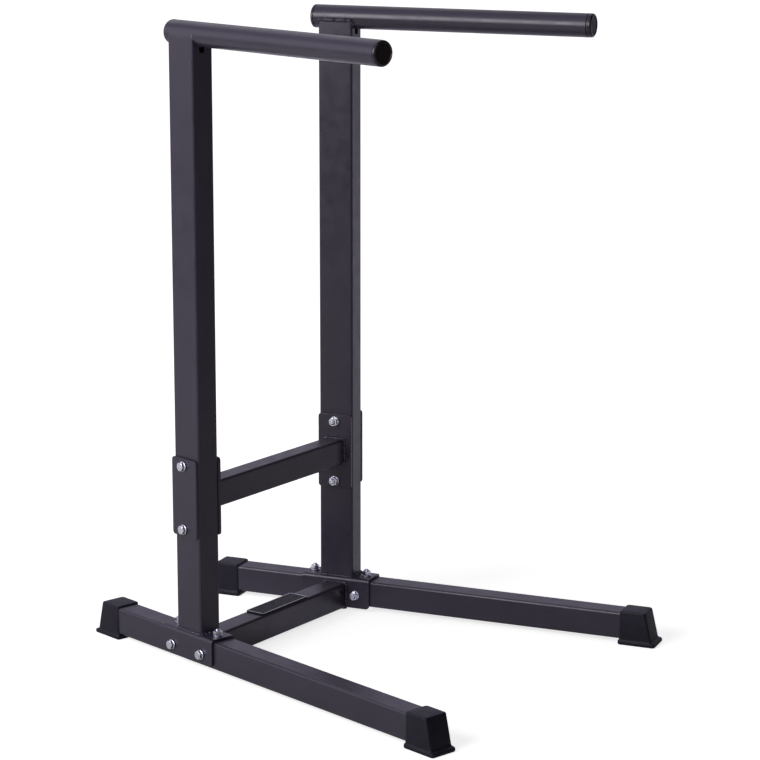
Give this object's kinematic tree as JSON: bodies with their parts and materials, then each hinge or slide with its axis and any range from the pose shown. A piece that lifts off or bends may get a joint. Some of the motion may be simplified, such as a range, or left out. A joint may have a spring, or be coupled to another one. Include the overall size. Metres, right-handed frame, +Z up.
{
  "type": "dip station",
  "caption": "Free-standing steel dip station: splayed runners with rubber feet, upright posts with round handles on top, and bars between the posts, bolted together.",
  "frame": {"origin": "on the floor, under the middle of the stand's footprint", "axes": "+Z up, -Y towards the handles' free ends, +X to the right of a person who stands at the handles' ends and faces the posts"},
  "size_m": [0.6782, 0.8058, 1.025],
  "materials": {
    "steel_paint": "satin charcoal powder coat",
    "foot_rubber": "matte moulding",
    "plug_moulding": "fine moulded grain",
    "zinc": "bright zinc plating",
    "badge": "gloss black with a pale line"
  },
  "bodies": {
    "root": {"left_runner": "steel_paint", "left_saddle": "steel_paint", "left_post": "steel_paint", "left_handle": "steel_paint", "left_outer_joint_plate": "steel_paint", "left_inner_joint_plate": "steel_paint", "left_front_foot": "foot_rubber", "left_rear_foot": "foot_rubber", "left_front_plug": "plug_moulding", "left_rear_plug": "plug_moulding", "left_upper_joint_bolt": "zinc", "left_upper_joint_washer": "zinc", "left_upper_joint_nut": "zinc", "left_lower_joint_bolt": "zinc", "left_lower_joint_washer": "zinc", "left_lower_joint_nut": "zinc", "left_front_side_bolt": "zinc", "left_front_side_washer": "zinc", "left_front_side_nut": "zinc", "left_rear_side_bolt": "zinc", "left_rear_side_washer": "zinc", "left_rear_side_nut": "zinc", "left_front_top_bolt": "zinc", "left_front_top_washer": "zinc", "left_front_top_nut": "zinc", "left_rear_top_bolt": "zinc", "left_rear_top_washer": "zinc", "left_rear_top_nut": "zinc", "right_runner": "steel_paint", "right_saddle": "steel_paint", "right_post": "steel_paint", "right_handle": "steel_paint", "right_outer_joint_plate": "steel_paint", "right_inner_joint_plate": "steel_paint", "right_front_foot": "foot_rubber", "right_rear_foot": "foot_rubber", "right_front_plug": "plug_moulding", "right_rear_plug": "plug_moulding", "right_upper_joint_bolt": "zinc", "right_upper_joint_washer": "zinc", "right_upper_joint_nut": "zinc", "right_lower_joint_bolt": "zinc", "right_lower_joint_washer": "zinc", "right_lower_joint_nut": "zinc", "right_front_side_bolt": "zinc", "right_front_side_washer": "zinc", "right_front_side_nut": "zinc", "right_rear_side_bolt": "zinc", "right_rear_side_washer": "zinc", "right_rear_side_nut": "zinc", "right_front_top_bolt": "zinc", "right_front_top_washer": "zinc", "right_front_top_nut": "zinc", "right_rear_top_bolt": "zinc", "right_rear_top_washer": "zinc", "right_rear_top_nut": "zinc", "base_bar": "steel_paint", "mid_bar": "steel_paint", "badge_plate": "badge"}
  },
  "joints": []
}
